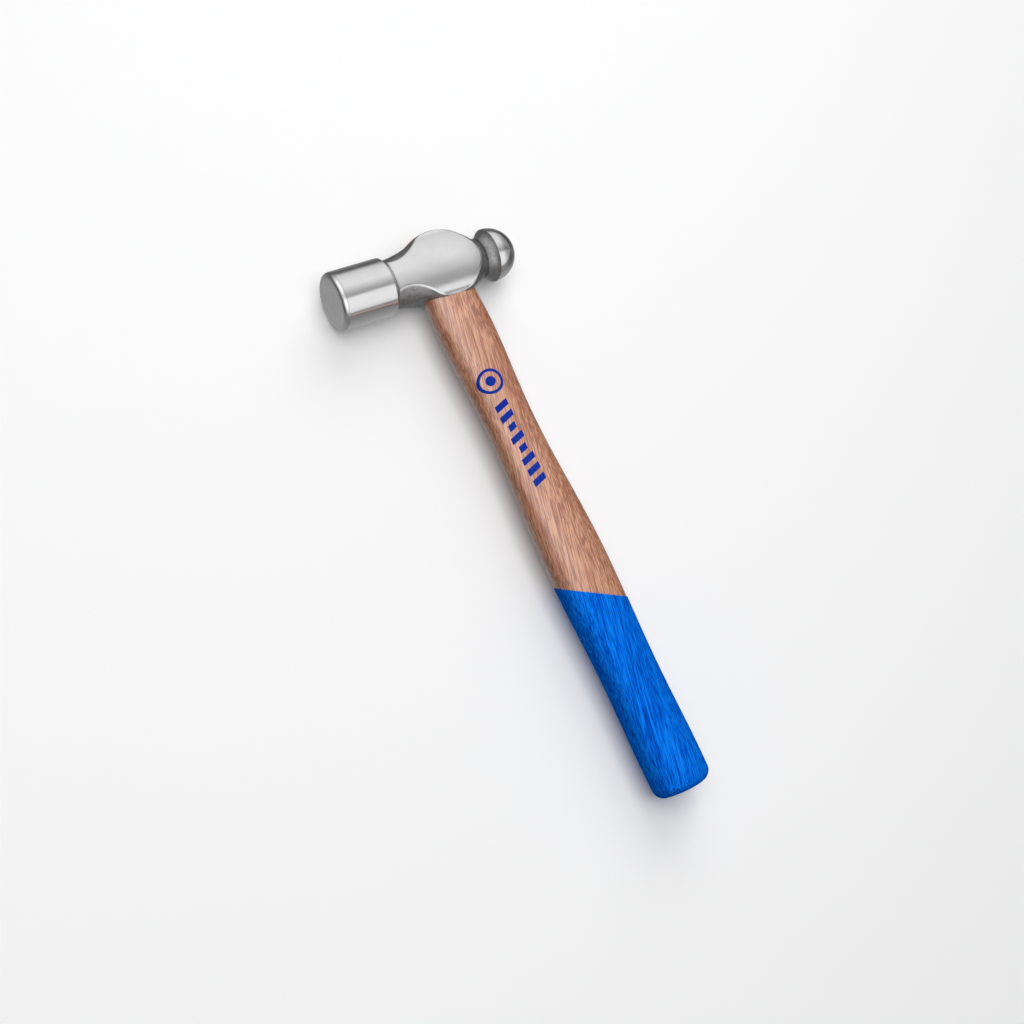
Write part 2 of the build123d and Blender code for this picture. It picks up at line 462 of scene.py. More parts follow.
@dataclass(frozen=True)
class VarnishedWood:
    """Reddish-brown hardwood under a clear satin varnish."""

    grain: Grain = Grain()
    pale: Colour = (0.63, 0.30, 0.165)
    middle: Colour = (0.49, 0.185, 0.083)
    deep: Colour = (0.30, 0.075, 0.024)
    fleck: Colour = (0.17, 0.045, 0.020)
    grain_mm: float = 0.22
    varnish_index: float = 2.15

    def build(self) -> bpy.types.Material:
        """Builds the material.

        Returns:
            The material.
        """
        g = Finish("varnished_wood")
        fibres, flecks, tone = self.grain.figure(g, g.place())
        tint = g.colours(tone, ((0.43, self.deep), (0.50, self.middle), (0.57, self.pale)))
        tint = g.blend(g.sums("MULTIPLY", flecks, 0.7), tint, self.fleck)
        height = g.sums("SUBTRACT", fibres, g.sums("MULTIPLY", flecks, 0.6))
        rough = g.span(fibres, 0.35, 0.65, 0.50, 0.36)
        g.set(Base_Color=tint, Roughness=rough, Normal=g.relief(height, self.grain_mm), Coat_Weight=1.0,
              Coat_Roughness=0.32, Coat_IOR=self.varnish_index, Specular_IOR_Level=0.5)
        return g.material


@dataclass(frozen=True)
class DippedLacquer:
    """Blue lacquer, thin enough for the grain to show through."""

    grain: Grain = Grain()
    bright: Colour = (0.006, 0.235, 0.95)
    middle: Colour = (0.002, 0.150, 0.78)
    deep: Colour = (0.001, 0.065, 0.46)
    gloss: float = 0.30
    gloss_tint: Colour = (0.05, 0.45, 1.0)
    grain_mm: float = 0.26

    def build(self) -> bpy.types.Material:
        """Builds the material.

        Returns:
            The material.
        """
        g = Finish("blue_lacquer")
        fibres, flecks, tone = self.grain.figure(g, g.place())
        tint = g.colours(tone, ((0.39, self.deep), (0.49, self.middle), (0.60, self.bright)))
        tint = g.blend(g.sums("MULTIPLY", flecks, 0.45), tint, self.deep)
        height = g.sums("SUBTRACT", fibres, g.sums("MULTIPLY", flecks, 0.5))
        rough = g.span(fibres, 0.35, 0.65, 0.44, 0.32)
        g.set(Base_Color=tint, Roughness=rough, Normal=g.relief(height, self.grain_mm),
              Metallic=self.gloss, Specular_IOR_Level=0.0, Specular_Tint=self.gloss_tint)
        return g.material


@dataclass(frozen=True)
class WedgeWood:
    """Bare sawn hardwood of the wooden wedge."""

    pale: Colour = (0.58, 0.38, 0.21)
    dark: Colour = (0.33, 0.18, 0.09)

    def build(self) -> bpy.types.Material:
        """Builds the material.

        Returns:
            The material.
        """
        g = Finish("wedge_wood")
        place = g.place()
        pores = g.noise(g.stretched(place, (8.0, 0.45, 0.3)), detail=4.0, rough=0.6)
        tint = g.colours(pores, ((0.36, self.dark), (0.58, self.pale)))
        g.set(Base_Color=tint, Roughness=g.span(pores, 0.3, 0.7, 0.8, 0.6), Normal=g.relief(pores, 0.12))
        return g.material


@dataclass(frozen=True)
class StampedSteel:
    """Bare stamped steel of the barbed wedges, bruised by the drift."""

    colour: Colour = (0.36, 0.36, 0.37)
    dark: Colour = (0.17, 0.16, 0.16)

    def build(self) -> bpy.types.Material:
        """Builds the material.

        Returns:
            The material.
        """
        g = Finish("stamped_steel")
        place = g.place()
        bruises = g.noise(g.stretched(place, (1.6, 1.6, 1.6)), detail=4.0)
        tint = g.colours(bruises, ((0.4, self.dark), (0.6, self.colour)))
        g.set(Base_Color=tint, Metallic=1.0, Roughness=g.span(bruises, 0.3, 0.7, 0.5, 0.32),
              Normal=g.relief(bruises, 0.08))
        return g.material


@dataclass(frozen=True)
class PrintInk:
    """Dark blue ink of the printed mark, slightly broken by the grain."""

    grain: Grain = Grain()
    colour: Colour = (0.003, 0.024, 0.30)
    thin: Colour = (0.008, 0.040, 0.36)

    def build(self) -> bpy.types.Material:
        """Builds the material.

        Returns:
            The material.
        """
        g = Finish("print_ink")
        fibres = self.grain.fibres(g, g.place())
        tint = g.colours(fibres, ((0.36, self.thin), (0.5, self.colour)))
        g.set(Base_Color=tint, Roughness=g.span(fibres, 0.3, 0.7, 0.6, 0.5), Normal=g.relief(fibres, 0.06),
              Specular_IOR_Level=0.15)
        return g.material


@dataclass(frozen=True)
class PaleFloor:
    """Matt pale floor."""

    colour: Colour = (0.93, 0.93, 0.935)
    mottled: Colour = (0.88, 0.88, 0.89)
    mottle_mm: float = 60.0

    def build(self) -> bpy.types.Material:
        """Builds the material.

        Returns:
            The material.
        """
        g = Finish("pale_floor")
        mottle = g.noise(g.stretched(g.place(), (self.mottle_mm,) * 3), detail=2.0)
        tint = g.blend(g.span(mottle, 0.3, 0.7, 0.0, 0.04), self.colour, self.mottled)
        g.set(Base_Color=tint, Roughness=0.9, Specular_IOR_Level=0.1)
        return g.material


# ---- sub-assemblies --------------------------------------------------------------------------


@dataclass
class HeadForging:
    """The steel head: a turned blank about the head's axis, flattened to cheeks at the eye.

    The head is drawn as a radius about its own axis, which lies along Y through the middle of
    the CAD head. Each row of points is at one place along the outline, and each column at one
    angle from +X towards +Z.
    """

    face_reach: float = 61.2 * MM
    face_edge: float = 3.0 * MM
    poll_length: float = 29.6 * MM
    chamfer_length: float = 2.2 * MM
    rim_round: float = 0.8 * MM
    neck_radius: float = 12.8 * MM
    bulb_crest: float = 21.0 * MM
    bulb_front: float = 19.3 * MM
    bulb_rear: float = 26.5 * MM
    cove_slope: float = 30.0
    cone_slope: float = 34.0
    crown_front: float = 30.0 * MM
    crown_rear: float = 33.0 * MM
    crown_slope: float = 27.0
    crown_cove_end: float = 22.0 * MM
    crown_rise: float = 0.8 * MM
    cheek_height: float = 14.2 * MM
    cheek_setback: float = 2.0 * MM
    cheek_front: float = 150.0 * MM
    cheek_rear: float = 82.0 * MM
    cheek_across: float = 38.0 * MM
    ball_radius: float = 14.1 * MM
    groove_radius: float = 6.0 * MM
    ball_neck_radius: float = 10.6 * MM
    ball_neck_reach: float = 25.0 * MM
    ball_rim_round: float = 0.5 * MM
    eye_length: float = 23.0 * MM
    eye_width: float = 14.6 * MM
    eye_flare: float = 1.6 * MM
    eye_flare_at: float = 21.9 * MM
    edge_softness: float = 0.45 * MM
    crown_softness: float = 0.9 * MM
    groove_softness: float = 0.5 * MM
    dull_from: float = 0.08 * MM
    dull_full: float = 0.40 * MM
    # Width of the painted shade: a dull, dark strip next to the neck ledge, behind the poll's chamfer.
    neck_shade: float = 1.6 * MM
    face_dull: float = 0.35
    row_step: float = 0.35 * MM
    poll_row_step: float = 2.2 * MM
    poll_corner_steps: int = 9
    hub_radius: float = 0.5 * MM
    neck_ledge: float = 0.6 * MM
    cheek_passes: int = 12
    column_spans: tuple[Span, ...] = ((0.0, 25.0, 16), (25.0, 68.0, 54), (68.0, 90.0, 14))
    groove_rows: int = 14
    groove_lead: float = 0.3 * MM
    rim_lead: float = 0.5 * MM
    rim_shade: float = 0.1 * MM
    ball_rows: int = 42
    ball_start: float = 0.06
    ball_tip_gap: float = 0.02
    plug_points: int = 120
    plug_spare: float = 6.0 * MM
    sharp_degrees: float = 38.0

    def __post_init__(self) -> None:
        """Takes the overall sizes and the place of the eye from the CAD head."""
        low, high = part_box("head")
        self.poll_radius = (high.z - low.z) / 2
        self.crown = (high.x - low.x) / 2
        self.eye = Vector(((low.x + high.x) / 2, high.y - self.face_reach, (low.z + high.z) / 2))
        self.ball_reach = self.eye.y - low.y
        self.rim_y = self.face_reach - self.poll_length
        self.neck_y = self.rim_y - self.chamfer_length
        self.ball_y = self.ball_radius - self.ball_reach

    def rounded(self, corners: list[tuple[float, float, float]], steps: int = 6) -> list[Point]:
        """Outline through corners, each rounded by its own radius.

        Args:
            corners: Place along the head, radius about it and rounding, for each corner.
            steps: Points on each rounding.

        Returns:
            Places along the head and radii, in order.
        """
        points = [np.array(c[:2]) for c in corners]
        outline = [tuple(points[0])]
        for before, corner, after, (_, _, radius) in zip(points, points[1:], points[2:], corners[1:]):
            back = (before - corner) / np.linalg.norm(before - corner)
            ahead = (after - corner) / np.linalg.norm(after - corner)
            half = math.acos(float(np.clip(back @ ahead, -1, 1))) / 2
            if radius == 0:
                outline.append(tuple(corner))
                continue
            bisector = (back + ahead) / np.linalg.norm(back + ahead)
            centre = corner + bisector * (radius / math.sin(half))
            start = corner + back * (radius / math.tan(half)) - centre
            end = corner + ahead * (radius / math.tan(half)) - centre
            sweep = math.pi - 2 * half
            side = 1 if start[0] * end[1] - start[1] * end[0] > 0 else -1
            for step in range(steps + 1):
                angle = side * sweep * step / steps
                turned = (start[0] * math.cos(angle) - start[1] * math.sin(angle),
                          start[0] * math.sin(angle) + start[1] * math.cos(angle))
                outline.append((centre[0] + turned[0], centre[1] + turned[1]))
        outline.append(tuple(points[-1]))
        return outline

    def turned_radius(self, y: float) -> float:
        """Radius of the turned blank between its two necks.

        Args:
            y: Place along the head from the eye.

        Returns:
            The radius there.
        """
        slope = math.radians(self.cove_slope)
        front_y = self.bulb_front * math.sin(slope)
        if y > front_y:
            start = (front_y, self.crest_drop(front_y, self.bulb_front))
            return self.hollow(y, start, (self.neck_y, self.neck_radius), slope)
        if y > 0:
            return self.crest_drop(y, self.bulb_front)
        cone = math.radians(self.cone_slope)
        rear_y = -self.bulb_rear * math.sin(cone)
        body = self.crest_drop(max(y, rear_y), self.bulb_rear) + min(y - rear_y, 0.0) * math.tan(cone)
        groove = self.groove_radius_at(y)
        return float(self.softened(np.array([body]), np.array([groove]), self.groove_softness)[0])

    def crest_drop(self, y: float, radius: float) -> float:
        """Radius of the bulb at a place along the head, for one radius of its outline."""
        return self.bulb_crest - radius + math.sqrt(radius**2 - y**2)

    def groove_radius_at(self, y: float) -> float:
        """Radius of the hollow groove between the eye section and the ball.

        Args:
            y: Place along the head from the eye.

        Returns:
            The radius there, or a large one outside the groove.
        """
        inside = self.groove_radius**2 - (y + self.ball_neck_reach) ** 2
        if inside <= 0:
            return 2 * self.bulb_crest
        return self.ball_neck_radius + self.groove_radius - math.sqrt(inside)

    @staticmethod
    def hollow(y: float, start: Point, end: Point, slope: float) -> float:
        """Height of a hollow arc that leaves one point at a slope and runs to another.

        Args:
            y: Place along the head from the eye.
            start: Place and height where the arc starts.
            end: Place and height where it ends.
            slope: How steeply it starts down, in radians.

        Returns:
            The height at y.
        """
        along, drop = end[0] - start[0], start[1] - end[1]
        normal = (math.sin(slope), math.cos(slope))
        arc = (along**2 + drop**2) / (2 * (along * normal[0] - drop * normal[1]))
        centre = (start[0] + arc * normal[0], start[1] + arc * normal[1])
        return centre[1] - math.sqrt(max(arc**2 - (y - centre[0]) ** 2, 0.0))

    def crown_reach(self, y: float) -> float:
        """Distance from the head's axis to its flat top at a place along the head.

        Args:
            y: Place along the head from the eye.

        Returns:
            The distance.
        """
        slope = math.radians(self.crown_slope)
        front_y = self.crown_front * math.sin(slope)
        neck = self.neck_radius + self.crown_rise
        if y > self.crown_cove_end:
            return neck
        if y > front_y:
            start = (front_y, self.crown - self.crown_front * (1 - math.cos(slope)))
            return self.hollow(y, start, (self.crown_cove_end, neck), slope)
        if y >= 0:
            return self.crown - self.crown_front + math.sqrt(self.crown_front**2 - y**2)
        end = self.ball_neck_radius + self.crown_rise
        arc = math.sqrt(max(self.crown_rear**2 - y**2, 0.0))
        return max(self.crown - self.crown_rear + arc, end)

    def cheek_reach(self, x: np.ndarray, y: float) -> np.ndarray:
        """Height of the cheek above the head's axis.

        Args:
            x: Places along the handle from the eye.
            y: Place along the head from the eye.

        Returns:
            The heights.
        """
        across = self.cheek_across - np.sqrt(np.maximum(self.cheek_across**2 - x**2, 0.0))
        radius = self.cheek_front if y > -self.cheek_setback else self.cheek_rear
        along = radius - math.sqrt(radius**2 - (y + self.cheek_setback) ** 2)
        return self.cheek_height - across - along

    @staticmethod
    def softened(first: np.ndarray, second: np.ndarray, width: float) -> np.ndarray:
        """Smaller of two radii, rounded where they meet.

        Args:
            first: First radii.
            second: Second radii.
            width: Over what difference the two blend.

        Returns:
            The blended radii.
        """
        near = np.maximum(width - np.abs(first - second), 0.0) / width
        return np.minimum(first, second) - near**2 * width / 4

    def eye_row(self, y: float, angles: np.ndarray) -> tuple[np.ndarray, np.ndarray]:
        """Radii and dullness of the eye section at one place along the head.

        Args:
            y: Place along the head from the eye.
            angles: Angles from +X towards +Z.

        Returns:
            The radii, and how dull the steel is: 0 on the cheeks and 1 well off them.
        """
        far = 3 * self.bulb_crest
        turned = np.full_like(angles, self.turned_radius(y))
        flat = np.minimum(self.crown_reach(y) / np.maximum(np.abs(np.cos(angles)), TINY), far)
        sine = np.maximum(np.abs(np.sin(angles)), TINY)
        cheek = np.minimum(self.cheek_height / sine, far)
        for _ in range(self.cheek_passes):
            x = np.clip(cheek * np.cos(angles), -self.bulb_crest, self.bulb_crest)
            cheek = np.minimum(self.cheek_reach(x, y) / sine, far)
        body = self.softened(turned, flat, self.crown_softness)
        off_cheek = np.clip((cheek - body - self.dull_from) / (self.dull_full - self.dull_from), 0.0, 1.0)
        return self.softened(body, cheek, self.edge_softness), off_cheek

    def angles(self) -> np.ndarray:
        """Angles of the columns, closest together where the cheeks' edges run.

        Returns:
            The angles from +X towards +Z, in radians.
        """
        quarter = np.concatenate([np.linspace(a, b, n, endpoint=False) for a, b, n in self.column_spans])
        half = np.concatenate([quarter, 180.0 - np.append(quarter, 90.0)[:0:-1]])
        return np.radians(np.concatenate([half, half + 180.0]))

    def rows(self, angles: np.ndarray) -> list[Row]:
        """Every row of the head, from the striking face to the ball's tip.

        Args:
            angles: Angles of the columns.

        Returns:
            For each row its place along the head, its radii and its dullness, which next to the neck ledge
            is painted shade.
        """
        ring = np.ones_like(angles)
        poll = [(self.face_reach, self.hub_radius, 0.0), (self.face_reach, self.poll_radius, self.face_edge),
                (self.rim_y, self.poll_radius, self.rim_round), (self.neck_y, self.neck_radius, 0.0)]
        outline = self.rounded(poll, steps=self.poll_corner_steps)
        face_end = self.face_reach - self.face_edge
        rows = [(y, radii, ring * (self.face_dull if y > face_end else 0.0))
                for y, radii in self.turned_rows(outline, self.poll_row_step, ring)]
        count = round((self.neck_y + self.ball_neck_reach) / self.row_step)
        for y in np.linspace(self.neck_y, -self.ball_neck_reach, count):
            share = min(max((self.neck_y - y) / self.neck_ledge, 0.0), 1.0)
            trimmed, dull = self.eye_row(float(y), angles)
            turned = self.turned_radius(float(y))
            # Painted shade: the steel is made dull and dark over a strip next to the neck ledge, where the
            # poll's chamfer shades it.
            painted_neck_shade = max(1.0 - (self.neck_y - y) / self.neck_shade, 0.0)
            rows.append((float(y), turned + (trimmed - turned) * share, np.maximum(dull, painted_neck_shade)))
        rim_y, rim_radius = self.ball_rim()
        start = -self.ball_neck_reach - self.groove_lead
        groove = [(float(y), self.groove_radius_at(float(y)))
                  for y in np.linspace(start, rim_y + self.rim_lead, self.groove_rows)]
        first = math.asin((self.ball_y - rim_y) / self.ball_radius) + self.ball_start
        ball = [(self.ball_y - self.ball_radius * math.sin(a), self.ball_radius * math.cos(a))
                for a in np.linspace(first, math.pi / 2 - self.ball_tip_gap, self.ball_rows)]
        corner = [(*groove[-1], 0.0), (rim_y, rim_radius, self.ball_rim_round), (*ball[0], 0.0)]
        rows += [(y, ring * radius, ring) for y, radius in groove[:-1]]
        rows += [(y, ring * radius, ring * float(y > rim_y - self.rim_shade))
                 for y, radius in self.rounded(corner)]
        rows += [(y, ring * radius, ring * 0.0) for y, radius in ball[1:]]
        return rows

    def turned_rows(self, outline: list[Point], spacing: float,
                    ring: np.ndarray) -> list[tuple[float, np.ndarray]]:
        """Rows along a turned outline, at most about a spacing apart.

        Args:
            outline: Places along the head and radii.
            spacing: Greatest distance between rows.
            ring: Ones, for every column.

        Returns:
            Each row's place along the head and its radii, without the outline's last point.
        """
        rows = []
        for (y0, r0), (y1, r1) in zip(outline, outline[1:]):
            pieces = max(1, round(math.hypot(y1 - y0, r1 - r0) / spacing))
            for step in range(pieces):
                share = step / pieces
                rows.append((y0 + (y1 - y0) * share, ring * (r0 + (r1 - r0) * share)))
        return rows

    def ball_rim(self) -> Point:
        """Rim where the groove meets the ball.

        Returns:
            Its place along the head and its radius.
        """
        across = self.ball_neck_radius + self.groove_radius
        along = -self.ball_neck_reach - self.ball_y
        apart = math.hypot(across, along)
        foot = (self.ball_radius**2 - self.groove_radius**2 + apart**2) / (2 * apart)
        rise = math.sqrt(self.ball_radius**2 - foot**2)
        radius = (foot * across + rise * along) / apart
        return self.ball_y + (foot * along - rise * across) / apart, radius

    def eye_plug(self, material: bpy.types.Material) -> bpy.types.Object:
        """Solid that cuts the eye: an oval that is narrowest in the middle of the head.

        Args:
            material: The finish of the cut faces.

        Returns:
            The solid.
        """
        count = self.plug_points
        reach = self.crown + self.plug_spare
        turn = np.linspace(0, 2 * math.pi, count, endpoint=False)
        vertices = []
        for x in (-reach, 0.0, reach):
            grow = self.eye_flare * abs(x) / self.eye_flare_at
            half_length, half_width = (self.eye_length + grow) / 2, (self.eye_width + grow) / 2
            vertices += [(self.eye.x + x, self.eye.y + half_length * math.cos(a),
                          self.eye.z + half_width * math.sin(a)) for a in turn]
        faces = ring_faces(3, count)
        faces.append(tuple(reversed(range(count))))
        faces.append(tuple(range(2 * count, 3 * count)))
        return mesh_object("eye_plug", np.array(vertices), faces, material)

    def build(self, steel: bpy.types.Material) -> bpy.types.Object:
        """Builds the forging and cuts its eye.

        Args:
            steel: The steel finish.

        Returns:
            The head, riding in place of the CAD head.
        """
        angles = self.angles()
        rows = self.rows(angles)
        count = len(angles)
        points, dullness = [], []
        for y, radii, dull in rows:
            ring = np.stack([self.eye.x + radii * np.cos(angles), np.full(count, self.eye.y + y),
                             self.eye.z + radii * np.sin(angles)], axis=1)
            points.append(ring)
            dullness += dull.tolist()
        faces = ring_faces(len(rows), count)
        points.append(np.array([[self.eye.x, self.eye.y + self.face_reach, self.eye.z],
                                [self.eye.x, self.eye.y - self.ball_reach, self.eye.z]]))
        dullness += [0.0, 0.0]
        face_hub, ball_hub = len(rows) * count, len(rows) * count + 1
        last = (len(rows) - 1) * count
        for i in range(count):
            j = (i + 1) % count
            faces.append((face_hub, j, i))
            faces.append((ball_hub, last + i, last + j))
        head = mesh_object("head_forging", np.concatenate(points), faces, steel)
        zone = head.data.attributes.new("dullness", "FLOAT", "POINT")
        zone.data.foreach_set("value", np.array(dullness, np.float32))
        self.cut_eye(head, steel)
        shade(head, self.sharp_degrees)
        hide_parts("head")
        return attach(head, BODY)

    def cut_eye(self, head: bpy.types.Object, steel: bpy.types.Material) -> None:
        """Cuts the eye out of the forging.

        Args:
            head: The forging.
            steel: The steel finish.
        """
        plug = self.eye_plug(steel)
        cut = head.modifiers.new("eye", "BOOLEAN")
        cut.operation = "DIFFERENCE"
        cut.solver = "EXACT"
        cut.object = plug
        bpy.context.view_layer.update()
        graph = bpy.context.evaluated_depsgraph_get()
        result = bpy.data.meshes.new_from_object(head.evaluated_get(graph))
        head.modifiers.clear()
        head.data = result
        bpy.data.objects.remove(plug)


@dataclass
class HandleStick:
    """The hardwood handle with its wedges and its dipped coat, all CAD solids."""

    wood: VarnishedWood = VarnishedWood()
    wedge_wood: WedgeWood = WedgeWood()
    wedge_steel: StampedSteel = StampedSteel()
    lacquer: DippedLacquer = DippedLacquer()

    def build(self) -> list[bpy.types.Object]:
        """Dresses the CAD solids.

        Returns:
            The dressed pieces.
        """
        wedge_steel = self.wedge_steel.build()
        finishes = {"handle": self.wood.build(), "wooden_wedge": self.wedge_wood.build(),
                    "steel_wedge_front": wedge_steel, "steel_wedge_rear": wedge_steel,
                    "dip_coat": self.lacquer.build()}
        return [dress(node, finish) for node, finish in finishes.items()]


class Bar(Enum):
    """Lengths of the slanted bars in the printed mark, in millimetres."""

    SHORT = 4.0
    TALL = 7.0


@dataclass
class PrintedMark:
    """A generic printed mark: a plain ring with a dot, and a row of slanted bars."""

    ring_reach: float = 67.0 * MM
    ring_radius: float = 6.6 * MM
    ring_width: float = 1.5 * MM
    dot_radius: float = 2.6 * MM
    side: float = 4.8 * MM
    bars_start: float = 79.0 * MM
    bar_pitch: float = 6.0 * MM
    bar_width: float = 3.4 * MM
    bar_slant: float = 0.35
    bars: tuple[Bar, ...] = (Bar.TALL, Bar.TALL, Bar.SHORT, Bar.TALL, Bar.SHORT, Bar.TALL, Bar.TALL,
                             Bar.TALL)
    row_lean: float = 0.02
    film: float = 0.05 * MM
    grid: float = 0.6 * MM
    layers: int = 5
    core: float = 0.01
    ray_height: float = 60.0 * MM
    weld: float = 0.002 * MM
    sharp_degrees: float = 40.0

    def lay(self, name: str, outline: list[Point], inner: list[Point],
            eye: Vector, wood: BVHTree, ink: bpy.types.Material) -> bpy.types.Object:
        """Lays one flat shape on the handle as a thin closed film.

        Args:
            name: The piece's name.
            outline: The shape's outer rim, along the handle and across it, from the eye.
            inner: Its inner rim with the same number of points, or its middle repeated.
            eye: The eye's middle.
            wood: The handle's surface.
            ink: The ink.

        Returns:
            The film, riding with the handle.
        """
        count = len(outline)
        flat = []
        for layer in range(self.layers + 1):
            share = layer / self.layers
            flat += [(ox + (ix - ox) * share, oy + (iy - oy) * share)
                     for (ox, oy), (ix, iy) in zip(outline, inner)]
        top, bottom = [], []
        for x, y in flat:
            start = Vector((eye.x - x, eye.y + y, eye.z + self.ray_height))
            place, normal, _, _ = wood.ray_cast(start, Vector((0, 0, -1)))
            top.append(place + normal * self.film)
            bottom.append(place - normal * self.film)
        total = len(flat)
        faces = []
        for face in ring_faces(self.layers + 1, count):
            faces += [face, tuple(total + corner for corner in reversed(face))]
        for rim in (0, self.layers * count):
            for i in range(count):
                j = (i + 1) % count
                faces.append((rim + i, total + rim + i, total + rim + j, rim + j))
        film = mesh_object(name, np.array(top + bottom), faces, ink)
        tidy = bmesh.new()
        tidy.from_mesh(film.data)
        bmesh.ops.remove_doubles(tidy, verts=tidy.verts, dist=self.weld)
        bmesh.ops.recalc_face_normals(tidy, faces=tidy.faces)
        tidy.to_mesh(film.data)
        tidy.free()
        shade(film, self.sharp_degrees)
        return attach(film, BODY)

    def circle(self, radius: float, count: int = 72) -> list[Point]:
        """Points of a circle about the ring's middle."""
        turn = np.linspace(0, 2 * math.pi, count, endpoint=False)
        return [(self.ring_reach + radius * math.cos(a), self.side + radius * math.sin(a)) for a in turn]

    def bar(self, index: int, kind: Bar) -> list[Point]:
        """Outline of one slanted bar, with enough points to follow the handle.

        Args:
            index: The bar's place in the row, from 0.
            kind: The bar's length.

        Returns:
            Places along the handle and across it, from the eye.
        """
        start = self.bars_start + index * self.bar_pitch
        end = start + self.bar_width
        half = kind.value * MM / 2
        corners = [(start, -half), (end, -half), (end, half), (start, half)]
        middle = self.side - self.row_lean * (start - self.bars_start)
        outline = []
        for (x0, y0), (x1, y1) in zip(corners, corners[1:] + corners[:1]):
            pieces = max(2, round(math.hypot(x1 - x0, y1 - y0) / self.grid))
            for step in range(pieces):
                share = step / pieces
                x, y = x0 + (x1 - x0) * share, y0 + (y1 - y0) * share
                outline.append((x + self.bar_slant * y, middle + y))
        return outline

    def build(self, eye: Vector, ink: bpy.types.Material) -> list[bpy.types.Object]:
        """Builds the ring, the dot and the bars.

        Args:
            eye: The eye's middle.
            ink: The ink.

        Returns:
            The films.
        """
        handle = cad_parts["handle"]
        surface = BVHTree.FromPolygons([v.co for v in handle.data.vertices],
                                       [tuple(p.vertices) for p in handle.data.polygons])
        ring = self.lay("mark_ring", self.circle(self.ring_radius),
                        self.circle(self.ring_radius - self.ring_width), eye, surface, ink)
        dot = self.lay("mark_dot", self.circle(self.dot_radius), self.circle(self.core * MM), eye, surface,
                       ink)
        films = [ring, dot]
        for index, kind in enumerate(self.bars):
            outline = self.bar(index, kind)
            mean_x, mean_y = np.mean(outline, axis=0)
            centre = [(mean_x + (x - mean_x) * self.core, mean_y + (y - mean_y) * self.core)
                      for x, y in outline]
            films.append(self.lay(f"mark_bar_{index + 1}", outline, centre, eye, surface, ink))
        return films


# ---- studio ----------------------------------------------------------------------------------


@dataclass(frozen=True)
class Softbox:
    """A soft rectangular lamp that faces the head and isn't mirrored in it.

    Directions are angles about the head's axis, from +X towards +Z, and the lamp's long side
    runs along that axis.
    """

    name: str
    start: float
    end: float
    length: float
    along: float
    distance: float
    radiance: float

    def build(self, eye: Vector) -> bpy.types.Object:
        """Builds the lamp.

        Args:
            eye: The middle of the head.

        Returns:
            The lamp.
        """
        middle = math.radians((self.start + self.end) / 2)
        half = math.radians((self.end - self.start) / 2)
        width = 2 * self.distance * math.tan(half)
        lamp = bpy.data.lights.new(self.name, "AREA")
        lamp.shape = "RECTANGLE"
        lamp.size, lamp.size_y = width, self.length
        lamp.energy = self.radiance * math.pi * width * self.length
        holder = bpy.data.objects.new(self.name, lamp)
        bpy.context.scene.collection.objects.link(holder)
        out = Vector((math.cos(middle), 0.0, math.sin(middle)))
        long_side = Vector((0.0, 1.0, 0.0))
        across = long_side.cross(out)
        turn = Matrix((across, long_side, out)).transposed().to_4x4()
        holder.matrix_world = Matrix.Translation(eye + out * self.distance + long_side * self.along) @ turn
        holder.visible_camera = False
        holder.visible_glossy = False
        return holder


